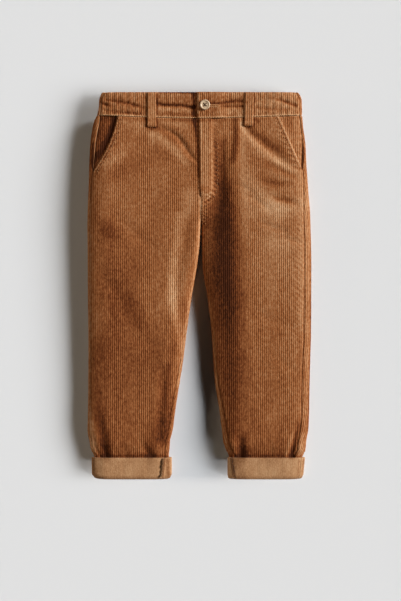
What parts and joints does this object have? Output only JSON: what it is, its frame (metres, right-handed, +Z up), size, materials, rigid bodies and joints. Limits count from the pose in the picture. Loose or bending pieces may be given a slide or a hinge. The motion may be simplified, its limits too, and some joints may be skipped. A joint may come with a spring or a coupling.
{
  "type": "child's corduroy trousers, laid flat",
  "caption": "Child's tan corduroy trousers laid flat, with a buttoned waistband, slant pockets, a lapped fly, belt loops and turned-up cuffs.",
  "frame": {"origin": "centre of the garment's outline seen from above, on the surface that it lies on", "axes": "+X towards the wearer's left, +Y towards the waist, +Z up from the surface, out of the front"},
  "size_m": [0.3101, 0.5348, 0.0211],
  "materials": {
    "corduroy": "matte",
    "pocket_facing": "matte",
    "wrong_side": "matte",
    "zip_tape": "matte",
    "button": "satin"
  },
  "bodies": {
    "root": {"front_right": "corduroy", "front_left": "corduroy", "back_right": "corduroy", "back_left": "corduroy", "waistband_right": "corduroy", "waistband_left": "corduroy", "waistband_back": "corduroy", "pocket_facing_right": "pocket_facing", "pocket_facing_left": "pocket_facing", "fly_zip": "zip_tape", "cuff_front_right": "wrong_side", "cuff_front_left": "wrong_side", "cuff_back_right": "wrong_side", "cuff_back_left": "wrong_side", "seam_allowance_right": "wrong_side", "seam_allowance_left": "wrong_side", "belt_loop_front_right": "corduroy", "belt_loop_front_left": "corduroy", "belt_loop_side_right": "corduroy", "belt_loop_side_left": "corduroy", "belt_loop_back": "corduroy", "button": "button"}
  },
  "joints": []
}
